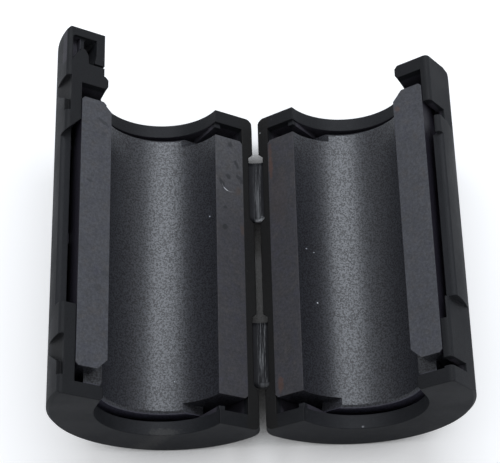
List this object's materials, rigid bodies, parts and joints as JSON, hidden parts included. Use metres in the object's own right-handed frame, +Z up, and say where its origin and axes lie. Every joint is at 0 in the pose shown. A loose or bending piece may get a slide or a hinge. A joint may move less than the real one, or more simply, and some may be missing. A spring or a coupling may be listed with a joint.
{
  "type": "clip on ferrite bead",
  "caption": "Hinged two-part plastic case with a half-tube ferrite core in each half, which closes around a round cable.",
  "frame": {"origin": "centre of the box's base, on the surface the open case lies on", "axes": "+X from the left half to the right half, +Y along the cable towards the tie lug, +Z up"},
  "size_m": [0.043, 0.0422, 0.0186],
  "materials": {
    "case_plastic": "satin",
    "ferrite": "ground ceramic, dark grey"
  },
  "bodies": {
    "left_half": {"left_case_shell": "case_plastic", "left_ferrite_half": "ferrite", "hinge_strap_far": "case_plastic", "hinge_strap_near": "case_plastic"},
    "right_half": {"right_case_shell": "case_plastic", "right_ferrite_half": "ferrite"}
  },
  "joints": [
    {"name": "case_hinge", "type": "hinge", "parent": "left_half", "child": "right_half", "pos_m": [0, -0.0026, 0.00557], "axis": [0, 1, 0], "range_deg": [-111, 25], "stiffness_Nm_per_rad": 0.01, "deforming": ["hinge_strap_far", "hinge_strap_near"]}
  ]
}
